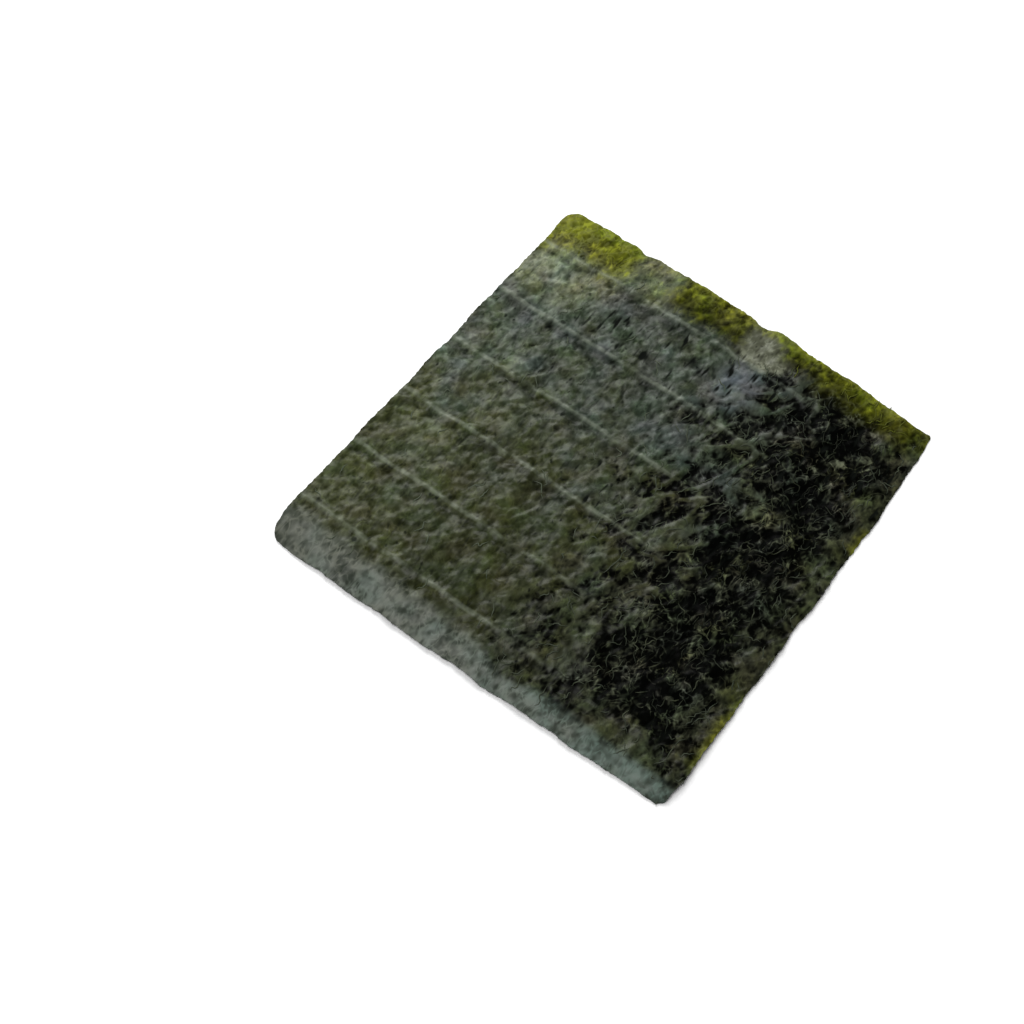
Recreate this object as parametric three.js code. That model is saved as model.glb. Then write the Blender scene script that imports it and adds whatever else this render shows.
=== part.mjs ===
// A sheet of roasted nori: laver pulp spread on a reed mat, dried flat and toasted, so that it is thin, crisp
// and a little wrinkled, and carries the raised lines that the mat's binding strings leave in it.
// It lies on its four corners in a shallow bow, with its front edge rolled down.
//
// Millimetres, +Z up. +X runs along the string lines and +Y from the rolled front edge to the thin back edge.
// The origin is under the middle of the sheet, on the surface that it lies on.

import * as THREE from "three";

const { clamp, lerp, smoothstep } = THREE.MathUtils;

// The cut sheet, whose right back corner is the sharpest
const SHEET_WIDTH = 190;
const SHEET_LENGTH = 208;
const SHEET_THICKNESS = 0.3;
const CORNER_RADIUS = 5;
const SHARP_CORNER_RADIUS = 1;

// The bow: a rounded ridge that runs from front to back, with a straight flank on either side
const RIDGE_X = 16;
const BOW_HEIGHT = 4.5;
const BOW_ROUNDING = 0.35;
const BOW_START = 45;

// The rolled front edge, taller and wider at the left, which hangs clear of the surface between its corners
const LIP_HEIGHT = { left: 5, right: 2 };
const LIP_RUN = { left: 14, right: 8 };
const LIP_CLEARANCE = 1.2;

// The raised lines of the mat's strings
const STRING_COUNT = 6;
const STRING_PITCH = 33.4;
const WELT_HEIGHT = 0.35;
const WELT_HALF_WIDTH = 0.9;

// The wrinkles, whose crests run mostly from front to back
const WRINKLES = { count: 12, height: 0.55, length: { short: 14, long: 36 }, lean: 0.75, start: 1 };
const WRINKLE_FADE = 1.5;

// The outline: a left edge cut a little askew, a right edge that draws in towards the back corner,
// a front edge that swells out and runs askew, a fringe in three stretches of the thin back edge,
// and a fine ripple all round. None of it reaches far in from the edges.
const LEFT_SKEW = 1;
const RIGHT_TAPER = { depth: 2.5, reach: 50, curve: 1.5 };
const FRONT_SWELL = 1.2;
const FRONT_SKEW = 1;
const FRINGE_STRETCHES = [
  { middle: -77, half: 21 },
  { middle: -24, half: 28 },
  { middle: 58, half: 46 },
];
const FRINGE_DEPTH = 2;
const FRINGE_FADE = 8;
const RIPPLE = { count: 5, height: 0.5, length: { short: 12, long: 44 }, lean: 0 };
const RIPPLE_STARTS = { left: 20, right: 40, front: 60, back: 80 };
const EDGE_GRIP = 8;

// How finely the faces are divided, with narrower columns and rows towards the edges
const COLUMNS = 35;
const COLUMN_CROWDING = 0.4;
const ROWS_IN_BAY = 6;
const FRONT_MARGIN = { rows: 7, crowding: 1.6 };
const BACK_MARGIN = { rows: 5, crowding: 0.7 };

const HALF_WIDTH = SHEET_WIDTH / 2;
const HALF_LENGTH = SHEET_LENGTH / 2;
const MIDDLE_STRING = (STRING_COUNT - 1) / 2;
const GOLDEN = (Math.sqrt(5) - 1) / 2;

// The k-th of a run of numbers spread evenly over 0 to 1, in no visible order.
const spread = (k) => (k * GOLDEN) % 1;

// A sum of waves of mixed length, heading and phase, of about the given height. The start picks the waves.
function waves(x, y, { count, height, length, lean, start }) {
  let sum = 0;
  for (let k = start; k < start + count; k++) {
    const span = lerp(length.short, length.long, spread(k));
    const heading = lerp(-lean, lean, spread(3 * k + 1));
    const along = x * Math.cos(heading) + y * Math.sin(heading);
    sum += (span / length.long) * Math.sin(2 * Math.PI * (along / span + spread(5 * k + 2)));
  }
  return (height * sum) / Math.sqrt(count);
}

// The bow's height at x: straight flanks that fall from the ridge to the sides, rounded where they meet.
function bow(x) {
  const flank = x < RIDGE_X ? HALF_WIDTH + RIDGE_X : HALF_WIDTH - RIDGE_X;
  const fall = Math.hypot((x - RIDGE_X) / flank, BOW_ROUNDING) - BOW_ROUNDING;
  return BOW_HEIGHT * (1 - fall / (Math.hypot(1, BOW_ROUNDING) - BOW_ROUNDING));
}

// The height that the rolled front edge gives: a quarter turn up from the edge, then a long fall to the back.
function lip(x, fromFront) {
  const share = smoothstep(x, -HALF_WIDTH, HALF_WIDTH);
  const height = lerp(LIP_HEIGHT.left, LIP_HEIGHT.right, share);
  const run = lerp(LIP_RUN.left, LIP_RUN.right, share);
  const clearance = LIP_CLEARANCE * (1 - (x / HALF_WIDTH) ** 4);
  const turn = Math.sin((Math.PI / 2) * clamp(fromFront / run, 0, 1));
  const fall = clamp((fromFront - run) / (SHEET_LENGTH - run), 0, 1);
  return lerp(clearance, height, turn) * (1 - fall);
}

// Where the k-th string line from the front lies.
const stringPlace = (k) => (k - MIDDLE_STRING) * STRING_PITCH;

// The height of the raised string line nearest to y.
function welt(y) {
  const nearest = clamp(Math.round(y / STRING_PITCH + MIDDLE_STRING), 0, STRING_COUNT - 1);
  return WELT_HEIGHT * Math.max(0, 1 - Math.abs(y - stringPlace(nearest)) / WELT_HALF_WIDTH);
}

// The height of the sheet's underside. Wrinkles and lines die away where it comes down to the surface.
function rise(x, y) {
  const fromFront = y + HALF_LENGTH;
  const broad = bow(x) * smoothstep(fromFront, 0, BOW_START) + lip(x, fromFront);
  const relief = waves(x, y, WRINKLES) + welt(y);
  return Math.max(0, broad + relief * smoothstep(broad, 0, WRINKLE_FADE));
}

// How far the ripple stands out at a distance along one edge. Each edge has waves of its own.
const ripple = (along, edge) => waves(along, 0, { ...RIPPLE, start: RIPPLE_STARTS[edge] });

// The thin fringe of the back edge, out in its stretches and in between them.
function fringe(x) {
  const cover = FRINGE_STRETCHES.map(({ middle, half }) =>
    1 - smoothstep(Math.abs(x - middle), half - FRINGE_FADE / 2, half + FRINGE_FADE / 2));
  return FRINGE_DEPTH * (Math.max(...cover) - 0.5);
}

// How far the right edge draws in towards the back corner.
function taper(y) {
  const { depth, reach, curve } = RIGHT_TAPER;
  return depth * Math.max(0, 1 - (HALF_LENGTH - y) / reach) ** curve;
}

// How far the front edge swells out.
const swell = (x) => FRONT_SWELL * (1 - (x / HALF_WIDTH) ** 2);

// How far each edge stands out from the rectangle, at a distance along it from the middle.
const edges = {
  left: (y) => ripple(y, "left") - (LEFT_SKEW * y) / HALF_LENGTH,
  right: (y) => ripple(y, "right") - taper(y),
  front: (x) => ripple(x, "front") + swell(x) - (FRONT_SKEW * x) / HALF_WIDTH,
  back: (x) => ripple(x, "back") + fringe(x),
};

// Where a point of the flat rectangle lies in the cut sheet's uneven outline. In each corner, the square with
// sides of the corner's radius is drawn in to a quarter disc.
function outlined(x, y) {
  const toSide = Math.sign(x);
  const toEnd = Math.sign(y);
  const side = (x < 0 ? edges.left : edges.right)(y) * (Math.abs(x) / HALF_WIDTH) ** EDGE_GRIP;
  const end = (y < 0 ? edges.front : edges.back)(x) * (Math.abs(y) / HALF_LENGTH) ** EDGE_GRIP;
  const radius = x > 0 && y > 0 ? SHARP_CORNER_RADIUS : CORNER_RADIUS;
  const cx = Math.max(0, 1 - (HALF_WIDTH - Math.abs(x)) / radius);
  const cy = Math.max(0, 1 - (HALF_LENGTH - Math.abs(y)) / radius);
  const drawnIn = (a, b) => radius * a * (1 - Math.sqrt(1 - (b * b) / 2));
  return [x + toSide * (side - drawnIn(cx, cy)), y + toEnd * (end - drawnIn(cy, cx))];
}

// Numbers from a to b, without a. Crowding above 1 draws them towards a, and below 1 towards b.
const stops = (a, b, count, crowding = 1) =>
  Array.from({ length: count }, (_, i) => lerp(a, b, ((i + 1) / count) ** crowding));

// The places of the rows from front to back: three at each string line, and steps between.
function rowPlaces() {
  const rows = [-HALF_LENGTH];
  for (let k = 0; k < STRING_COUNT; k++) {
    const line = stringPlace(k);
    const foot = line - WELT_HALF_WIDTH;
    rows.push(...(k === 0
      ? stops(rows.at(-1), foot, FRONT_MARGIN.rows, FRONT_MARGIN.crowding)
      : stops(rows.at(-1), foot, ROWS_IN_BAY)));
    rows.push(line, line + WELT_HALF_WIDTH);
  }
  rows.push(...stops(rows.at(-1), HALF_LENGTH, BACK_MARGIN.rows, BACK_MARGIN.crowding));
  return rows;
}

// The places of the columns from left to right.
function columnPlaces() {
  const crowded = (t) => lerp(t, Math.sin((Math.PI / 2) * t), COLUMN_CROWDING);
  return [-1, ...stops(-1, 1, COLUMNS)].map((t) => HALF_WIDTH * crowded(t));
}

// The closed sheet: an underside and an upper face split into triangles alike, and a rim that joins them.
function sheetGeometry() {
  const columns = columnPlaces();
  const rows = rowPlaces();
  const under = rows.flatMap((y) => columns.map((x) => new THREE.Vector3(...outlined(x, y), rise(x, y))));
  const upper = under.map((point) => point.clone().setZ(point.z + SHEET_THICKNESS));

  const index = [];
  const quad = (a, b, c, d) => index.push(a, b, c, a, c, d);
  const at = (row, column) => row * columns.length + column;
  const above = under.length;
  const wall = (a, b) => quad(a, b, b + above, a + above);
  const lastRow = rows.length - 1;
  const lastColumn = columns.length - 1;
  for (let r = 0; r < lastRow; r++) {
    for (let c = 0; c < lastColumn; c++) {
      const [a, b, d, e] = [at(r, c), at(r, c + 1), at(r + 1, c + 1), at(r + 1, c)];
      quad(a + above, b + above, d + above, e + above);
      index.push(a, d, b, a, e, d);
    }
    wall(at(r, lastColumn), at(r + 1, lastColumn));
    wall(at(r + 1, 0), at(r, 0));
  }
  for (let c = 0; c < lastColumn; c++) {
    wall(at(0, c), at(0, c + 1));
    wall(at(lastRow, c + 1), at(lastRow, c));
  }

  const geometry = new THREE.BufferGeometry().setFromPoints([...under, ...upper]);
  geometry.setIndex(index);
  geometry.computeVertexNormals();
  return geometry;
}

// Sets the geometry down so that the origin is under the middle of its box.
function setDown(geometry) {
  geometry.computeBoundingBox();
  const { min, max } = geometry.boundingBox;
  return geometry.translate(-(min.x + max.x) / 2, -(min.y + max.y) / 2, -min.z);
}

const nori = new THREE.MeshStandardMaterial({ color: 0x23281a, roughness: 0.55, metalness: 0 });

const sheet = new THREE.Mesh(setDown(sheetGeometry()), nori);
sheet.name = "nori_sheet";

const part = new THREE.Group();
part.add(sheet);

export default part;
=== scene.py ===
"""A sheet of roasted nori in a shallow bow, its front edge rolled down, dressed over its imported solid."""

import math

import bpy
import numpy as np
from mathutils import Matrix, Vector


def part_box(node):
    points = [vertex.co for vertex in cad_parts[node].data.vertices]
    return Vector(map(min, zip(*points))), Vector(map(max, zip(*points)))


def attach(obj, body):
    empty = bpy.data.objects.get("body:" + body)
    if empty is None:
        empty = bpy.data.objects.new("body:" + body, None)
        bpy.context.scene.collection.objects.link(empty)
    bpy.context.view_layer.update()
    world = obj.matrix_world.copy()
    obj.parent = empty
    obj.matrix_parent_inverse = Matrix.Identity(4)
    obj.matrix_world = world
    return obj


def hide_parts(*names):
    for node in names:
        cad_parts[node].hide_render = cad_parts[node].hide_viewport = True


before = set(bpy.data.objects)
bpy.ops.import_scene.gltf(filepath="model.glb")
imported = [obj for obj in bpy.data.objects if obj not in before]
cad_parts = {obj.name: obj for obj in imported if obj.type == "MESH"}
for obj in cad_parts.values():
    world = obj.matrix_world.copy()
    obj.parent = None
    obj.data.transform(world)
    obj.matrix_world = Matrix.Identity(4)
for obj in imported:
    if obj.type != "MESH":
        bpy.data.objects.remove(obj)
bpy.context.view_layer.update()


# The sheet's form
# Laver pulp is spread thin over a reed mat, dried and toasted. The sheet keeps the raised lines of the mat's
# strings, and toasting bows and wrinkles it. Its sizes are the solid's own, in millimetres.

MILLIMETRE = 0.001
SHEET_WIDTH = 190.0
SHEET_LENGTH = 208.0
SHEET_THICKNESS = 0.3
HALF_WIDTH = SHEET_WIDTH / 2
HALF_LENGTH = SHEET_LENGTH / 2

RIDGE_X = 16.0
BOW_HEIGHT = 4.5
BOW_ROUNDING = 0.35
BOW_START = 45.0

# The rolled front edge, at its left and right ends
LIP_HEIGHT = (5.0, 2.0)
LIP_RUN = (14.0, 8.0)
LIP_CLEARANCE = 1.2
LIP_CLEARANCE_CURVE = 4

STRING_COUNT = 6
STRING_PITCH = 33.4
WELT_HEIGHT = 0.35

WRINKLES = {"count": 12, "height": 0.55, "short": 14, "long": 36, "lean": 0.75, "start": 1}
GOLDEN = (math.sqrt(5) - 1) / 2


def ramp(value, low, high):
    """0 below low, 1 above high, and smooth between."""
    share = np.clip((value - low) / (high - low), 0, 1)
    return share * share * (3 - 2 * share)


def between(first, last, share):
    """A share of the way from the first value to the last."""
    return first + (last - first) * share


def spread(k):
    """The k-th of a run of numbers spread evenly over 0 to 1, in no visible order."""
    return (k * GOLDEN) % 1


def waves(x, y, count, height, short, long, lean, start):
    """A sum of waves of mixed length, heading and phase, of about the given height."""
    total = 0
    for k in range(start, start + count):
        span = between(short, long, spread(k))
        heading = between(-lean, lean, spread(3 * k + 1))
        along = x * np.cos(heading) + y * np.sin(heading)
        total = total + span / long * np.sin(2 * np.pi * (along / span + spread(5 * k + 2)))
    return height * total / math.sqrt(count)


def bow(x):
    """Straight flanks that fall from the ridge to the sides, rounded where they meet."""
    flank = np.where(x < RIDGE_X, HALF_WIDTH + RIDGE_X, HALF_WIDTH - RIDGE_X)
    fall = np.hypot((x - RIDGE_X) / flank, BOW_ROUNDING) - BOW_ROUNDING
    return BOW_HEIGHT * (1 - fall / (math.hypot(1, BOW_ROUNDING) - BOW_ROUNDING))


def lip_run(x):
    """How far the rolled front edge reaches in."""
    return between(*LIP_RUN, ramp(x, -HALF_WIDTH, HALF_WIDTH))


def lip(x, from_front):
    """A quarter turn up from the front edge, then a long fall to the back."""
    height = between(*LIP_HEIGHT, ramp(x, -HALF_WIDTH, HALF_WIDTH))
    run = lip_run(x)
    clearance = LIP_CLEARANCE * (1 - (x / HALF_WIDTH) ** LIP_CLEARANCE_CURVE)
    turn = np.sin(np.pi / 2 * np.clip(from_front / run, 0, 1))
    fall = np.clip((from_front - run) / (SHEET_LENGTH - run), 0, 1)
    return between(clearance, height, turn) * (1 - fall)


def broad_rise(x, y):
    """The height of the bow and the rolled edge together."""
    from_front = y + HALF_LENGTH
    return bow(x) * ramp(from_front, 0, BOW_START) + lip(x, from_front)


def string_places():
    """Where the string lines lie, from front to back."""
    return (np.arange(STRING_COUNT) - (STRING_COUNT - 1) / 2) * STRING_PITCH


def welt(y, half_width):
    """1 on the crest of a string line, 0 from its foot outwards."""
    away = np.abs(y[..., None] - string_places()).min(-1)
    return 1 - ramp(away, 0, half_width)


# The sheet's outline
# The sheet comes off the mat a little askew: the left edge leans, the right edge draws in to the back
# corner and the front edge swells out. The thin back edge has a fringe in three stretches, and a ripple
# runs all round.

CORNER_RADIUS = 5.0
SHARP_CORNER_RADIUS = 1.0
LEFT_SKEW = 1.0
TAPER_DEPTH = 2.5
TAPER_REACH = 50.0
TAPER_CURVE = 1.5
FRONT_SWELL = 1.2
FRONT_SKEW = 1.0
FRINGE_STRETCHES = ((-77, 21), (-24, 28), (58, 46))
FRINGE_DEPTH = 2.0
FRINGE_FADE = 4.0
RIPPLE = {"count": 5, "height": 0.5, "short": 12, "long": 44, "lean": 0}
RIPPLE_STARTS = {"left": 20, "right": 40, "front": 60, "back": 80}
EDGE_GRIP = 8


def ripple(along, edge):
    """How far the ripple of one edge stands out."""
    return waves(along, 0, **RIPPLE, start=RIPPLE_STARTS[edge])


def fringe(x):
    """The fringe of the back edge, out in its stretches and in between them."""
    cover = [
        1 - ramp(np.abs(x - middle), half - FRINGE_FADE, half + FRINGE_FADE)
        for middle, half in FRINGE_STRETCHES
    ]
    return FRINGE_DEPTH * (np.max(cover, axis=0) - 0.5)


def taper(y):
    """How far the right edge draws in."""
    return TAPER_DEPTH * np.maximum(0, 1 - (HALF_LENGTH - y) / TAPER_REACH) ** TAPER_CURVE


def outlined(x, y):
    """Where a point of the flat rectangle lies in the sheet's uneven outline."""
    to_side = np.abs(x) / HALF_WIDTH
    to_end = np.abs(y) / HALF_LENGTH
    left = ripple(y, "left") - LEFT_SKEW * y / HALF_LENGTH
    right = ripple(y, "right") - taper(y)
    front = ripple(x, "front") + FRONT_SWELL * (1 - to_side ** 2) - FRONT_SKEW * x / HALF_WIDTH
    back = ripple(x, "back") + fringe(x)
    side = np.where(x < 0, left, right) * to_side ** EDGE_GRIP
    end = np.where(y < 0, front, back) * to_end ** EDGE_GRIP
    radius = np.where((x > 0) & (y > 0), SHARP_CORNER_RADIUS, CORNER_RADIUS)
    corner_x = np.maximum(0, 1 - (HALF_WIDTH - np.abs(x)) / radius)
    corner_y = np.maximum(0, 1 - (HALF_LENGTH - np.abs(y)) / radius)
    side = side - radius * corner_x * (1 - np.sqrt(1 - corner_y ** 2 / 2))
    end = end - radius * corner_y * (1 - np.sqrt(1 - corner_x ** 2 / 2))
    return x + np.sign(x) * side, y + np.sign(y) * end


# The sheet's face
# The pulp settles and toasts unevenly, and the light falls unevenly over the bow. So each point of the face
# carries where the sheet is thin, rolled, raised, pale or sheeny, the last two partly painted sheen,
# for its finish and its relief. The face is a single layer so far, and its places are in millimetres.

COLUMNS = 198
ROWS_IN_BAY = 39
ROWS_IN_MARGIN = 22


def row_places():
    """The places of the rows from front to back, with one on the crest of each string line."""
    stops = np.concatenate([[-HALF_LENGTH], string_places(), [HALF_LENGTH]])
    counts = [ROWS_IN_MARGIN] + [ROWS_IN_BAY] * (STRING_COUNT - 1) + [ROWS_IN_MARGIN]
    rows = [np.linspace(a, b, n, endpoint=False) for a, b, n in zip(stops, stops[1:], counts)]
    return np.concatenate(rows + [[HALF_LENGTH]])


# Thin stretches of the back edge: middle, half length, where fading starts and ends going in, and strength
THIN_STRETCHES = (
    (-80, 27, 10, 30, 1.0),
    (-46, 16, 12, 23, 0.35),
    (-14, 20, 12, 22, 1.0),
    (16, 14, 1.5, 6.5, 0.75),
    (54, 34, 5, 18, 1.0),
    (88, 12, 4, 14, 0.5),
)
THIN_END_INSIDE = 6.0
THIN_END_OUTSIDE = 5.0

# Thin bits of the sides: left or right, then the same as for the back edge
THIN_BITS = ((-1, 92, 18, 0, 8, 0.9), (1, 42, 8, 0, 5, 0.7), (1, -66, 22, 0, 6, 0.6))
THIN_BIT_CORE = 0.6


def thin_edge(x, y):
    """1 where the sheet thins out to green, along stretches of its back edge and in bits of its sides."""
    shares = []
    for middle, half, full, gone, strength in THIN_STRETCHES:
        along = 1 - ramp(np.abs(x - middle), half - THIN_END_INSIDE, half + THIN_END_OUTSIDE)
        shares.append(strength * along * (1 - ramp(HALF_LENGTH - y, full, gone)))
    for side, middle, half, full, gone, strength in THIN_BITS:
        along = 1 - ramp(np.abs(y - middle), half * THIN_BIT_CORE, half)
        shares.append(strength * along * (1 - ramp(HALF_WIDTH - side * x, full, gone)))
    return np.max(shares, axis=0)


# How light the thin edge is at some places across the sheet, inside and at the rim, partly painted light
# shining through the thin felt
THIN_LIGHT_PLACES = (-85, -60, -46, -34, 8, 28)
THIN_LIGHT_INSIDE = (1.05, 0.85, 0.75, 0.21, 0.19, 0.11)
THIN_LIGHT_AT_RIM = (0.3, 0.25, 0.8, 0.90, 0.85, 0.75)
THIN_LIGHT_REACH = 4.6
RIM_LIGHT = 0.8
RIM_LIGHT_REACH = 1.0


def thin_light(x, y):
    """How light the green of the thin edge is: alike all over at the left, brightest at the rim elsewhere."""
    to_rim = np.minimum(HALF_WIDTH - np.abs(x), HALF_LENGTH - y)
    inside = np.interp(x, THIN_LIGHT_PLACES, THIN_LIGHT_INSIDE)
    at_rim = np.interp(x, THIN_LIGHT_PLACES, THIN_LIGHT_AT_RIM)
    glow = np.exp(-to_rim / THIN_LIGHT_REACH) + RIM_LIGHT * np.exp(-to_rim / RIM_LIGHT_REACH)
    return inside + at_rim * glow


# Oval spots: the middle across and along, then half the width and half the length
FLAKE = (15, 97, 18, 19)
PALE_GAP_SPOT = (-40, 96, 19, 17)
# A bluish painted reflection near the ridge at the back
BLUE_SPOT = (15, 72, 15, 19)
PALE_CORNER = (-95, 88, 60, 42)
CREASED_SPOT = (-2, -4, 24, 24)
SPOT_CORE = 0.4


def patch(x, y, spot):
    """1 in the middle of an oval spot, 0 outside it."""
    middle_x, middle_y, half_x, half_y = spot
    return 1 - ramp(np.hypot((x - middle_x) / half_x, (y - middle_y) / half_y), SPOT_CORE, 1.0)


# The painted sheen's edge and softness, at the front and at the back
SHEEN_EDGE = (20.0, 26.0)
SHEEN_SOFTNESS = (64.0, 36.0)
TAIL_GLOW = 0.53
TAIL_END = (25.0, 70.0)
SIDE_GLOW = 0.60
SIDE_GLOW_START = 66.0
LIP_GLOW = 0.58
LIP_GLOW_END = (8.0, 44.0)
BLUE_SPOT_GLOW = 0.9


def sheen(x, y):
    """Painted sheen: 1 on the flank that catches the light and in two spots, less at far edges, else 0."""
    along = y / SHEET_LENGTH + 0.5
    edge = between(*SHEEN_EDGE, along)
    softness = between(*SHEEN_SOFTNESS, along)
    broad = 1 - ramp(x, edge - softness, edge + softness)
    tail = TAIL_GLOW * (1 - ramp(x, *TAIL_END))
    side = SIDE_GLOW * ramp(x, SIDE_GLOW_START, HALF_WIDTH)
    front = LIP_GLOW * (1 - ramp(y + HALF_LENGTH, *LIP_GLOW_END))
    spots = [patch(x, y, FLAKE), BLUE_SPOT_GLOW * patch(x, y, BLUE_SPOT)]
    return np.max([broad, tail, side, front, *spots], axis=0)


# The rolled edge's pale painted reflection: where it is narrowest, over what half length and by how much,
# and its reach in widths
LIP_NARROWS = (15, 20, 0.4)
LIP_TONE_REACH = (0.5, 1.6)


def lip_tone(x, from_front):
    """1 on the rolled edge's pale painted reflection, narrowest a bit right of its middle, 0 behind it."""
    place, half, share = LIP_NARROWS
    width = lip_run(x) * (1 - share * (1 - ramp(np.abs(x - place), 0, half)))
    full, gone = LIP_TONE_REACH
    return 1 - ramp(from_front, width * full, width * gone)


BRANCH_END = (30, 80)
BRANCH_START = (-70, 0)


def branch_reach(x, y):
    """1 where painted highlights on wrinkles branch from the ridge into the dull flank, 0 far out on it."""
    return (1 - ramp(x, *BRANCH_END)) * ramp(y, *BRANCH_START)


SHADE_ACROSS = 0.30
SHADE_ACROSS_RUN = (-85, -30)
SHADE_FRONT = 0.12
SHADE_FRONT_RUN = (-90, 10)


def shade(x, y):
    """Painted shade: how far the sheeny flank darkens from its left edge towards the ridge and the front."""
    return SHADE_ACROSS * ramp(x, *SHADE_ACROSS_RUN) + SHADE_FRONT * (1 - ramp(y, *SHADE_FRONT_RUN))


GREY_ALONG = (-70, 90)
GREY_ACROSS_END = (55, 85)


def grey_share(x, y):
    """1 where the painted sheen turns the felt grey, towards the back, 0 where it is olive."""
    return ramp(y, *GREY_ALONG) * (1 - ramp(x, *GREY_ACROSS_END))


# Where the painted highlight of the string lines ends, at the front and back, and the stretch between the two
LINE_END = (38.0, 62.0)
LINE_END_RUN = (-60, 30)
LINE_FADE = 44.0


def line_reach(x, y):
    """1 where string lines show a painted highlight, 0 far on the dull flank. Back ones reach further."""
    end = between(*LINE_END, ramp(y, *LINE_END_RUN))
    return 1 - ramp(x, end - LINE_FADE, end)


SLIT_STRENGTH = (0.45, 1.0)
SLIT_BAY_START = (30, 55)
SLIT_BAY_END = (80, 92)
SLIT_BAY_ACROSS = (-75, -40)


def slit_strength(x, y):
    """Painted shade in the reeds' slits: most in the bay behind the middle, and in creases on the ridge."""
    bay = ramp(y, *SLIT_BAY_START) * (1 - ramp(y, *SLIT_BAY_END)) * ramp(x, *SLIT_BAY_ACROSS)
    return between(*SLIT_STRENGTH, np.maximum(bay, patch(x, y, CREASED_SPOT)))


# The string lines, which waver, each with a groove in front of it. Relief dies away near the surface below.
LINE_WAVER = {"count": 5, "height": 0.45, "short": 22, "long": 70, "lean": 0.5, "start": 100}
LINE_HALF_WIDTH = 2.7
LINE_TONE_HALF_WIDTH = 1.5
LINE_TONE_PLACE = -0.4
GROOVE_PLACE = -4.0
GROOVE_HALF_WIDTH = 3.2
GROOVE_DEPTH = 0.25
# Where the groove's painted shadow fades in from the front
GROOVE_TONE_START = (-86, -60)
RELIEF_FADE = 1.5
RIM_REACH = 5.0

columns = np.linspace(-HALF_WIDTH, HALF_WIDTH, COLUMNS + 1)
flat_x, flat_y = (grid.ravel() for grid in np.meshgrid(columns, row_places()))
sheet_x, sheet_y = outlined(flat_x, flat_y)
rise = broad_rise(flat_x, flat_y)
lift = ramp(rise, 0, RELIEF_FADE)
line_y = flat_y + waves(flat_x, flat_y, **LINE_WAVER)
crest = welt(line_y, LINE_HALF_WIDTH)
groove = welt(line_y - GROOVE_PLACE, GROOVE_HALF_WIDTH) * (1 - crest)
lines = WELT_HEIGHT * crest - GROOVE_DEPTH * groove
sheet_z = np.maximum(0, rise + (waves(flat_x, flat_y, **WRINKLES) + lines) * lift)

solid_low, solid_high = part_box("nori_sheet")
middle_x = (solid_low.x + solid_high.x) / 2 - (sheet_x.min() + sheet_x.max()) / 2 * MILLIMETRE
middle_y = (solid_low.y + solid_high.y) / 2 - (sheet_y.min() + sheet_y.max()) / 2 * MILLIMETRE
points = np.stack([sheet_x, sheet_y, sheet_z], -1) * MILLIMETRE + (middle_x, middle_y, solid_low.z)

row_step = COLUMNS + 1
corner = np.arange(len(points)).reshape(-1, row_step)[:-1, :-1].ravel()
faces = np.stack([corner, corner + 1, corner + row_step + 1, corner + row_step], -1)
sheet_mesh = bpy.data.meshes.new("nori_sheet_face")
sheet_mesh.from_pydata(points.tolist(), [], faces.tolist())
to_rim = np.minimum(HALF_WIDTH - np.abs(flat_x), HALF_LENGTH - np.abs(flat_y))
for name, values in {
    "lift": lift,
    "thin_edge": thin_edge(flat_x, flat_y),
    "thin_light": thin_light(flat_x, flat_y),
    "across": flat_x / SHEET_WIDTH + 0.5,
    "flake": patch(flat_x, flat_y, FLAKE),
    "sheen": sheen(flat_x, flat_y),
    "grey": grey_share(flat_x, flat_y),
    "shade": shade(flat_x, flat_y),
    "branch_reach": branch_reach(flat_x, flat_y),
    "pale": np.maximum(patch(flat_x, flat_y, PALE_CORNER), patch(flat_x, flat_y, PALE_GAP_SPOT)),
    "blue": patch(flat_x, flat_y, BLUE_SPOT),
    "slit_strength": slit_strength(flat_x, flat_y),
    "lip": lip_tone(flat_x, flat_y + HALF_LENGTH),
    "crest": welt(line_y - LINE_TONE_PLACE, LINE_TONE_HALF_WIDTH) * line_reach(flat_x, flat_y),
    "groove": groove * ramp(flat_y, *GROOVE_TONE_START),
    "rim": 1 - ramp(to_rim, 0, RIM_REACH),
}.items():
    attribute = sheet_mesh.attributes.new(name, "FLOAT", "POINT")
    attribute.data.foreach_set("value", values.astype(np.float32))


# The felt's pattern
# The pulp is chopped laver that dries into a felt: curly strands that run mostly from front to back, folds
# and crumples that lie aslant, and short slits that the mat's reeds left. The finish and the relief share it.

RIDGE_TURN = math.radians(32)

# Each layer of the felt is a noise, with its size in millimetres and how far it is drawn out along the sheet
FELT_LAYERS = {
    "Slits": {"size": 2.6, "along": 4.0, "detail": 1, "shift": 13},
    "Pores": {"size": 2.4, "along": 1.6, "detail": 1, "shift": 71},
    "Patches": {"size": 17, "along": 1.2, "detail": 4, "shift": 19},
    "Specks": {"size": 2.8, "along": 1.45, "detail": 1, "distortion": 0.2, "shift": 23},
    "Crumple": {"size": 4.6, "along": 2.2, "detail": 1.5, "distortion": 0.4, "shift": 31, "turn": RIDGE_TURN},
    "Folds": {"size": 10, "along": 1.9, "detail": 3, "distortion": 0.6, "shift": 37, "turn": RIDGE_TURN},
    "Comb": {"size": 3.2, "along": 3.5, "detail": 2, "shift": 67},
    "Ridges": {"size": 11, "along": 2.1, "detail": 2, "distortion": 0.5, "shift": 61, "turn": RIDGE_TURN},
    "Warmth": {"size": 14, "detail": 1, "shift": 109},
    "Dye": {"size": 18, "detail": 1, "shift": 113},
}
SLIT_EDGE = (0.56, 0.73)
PORE_EDGE = (0.58, 0.76)
RIDGE_LINE_WIDTH = 0.095
NOISE_ROUGHNESS = 0.55

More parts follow.
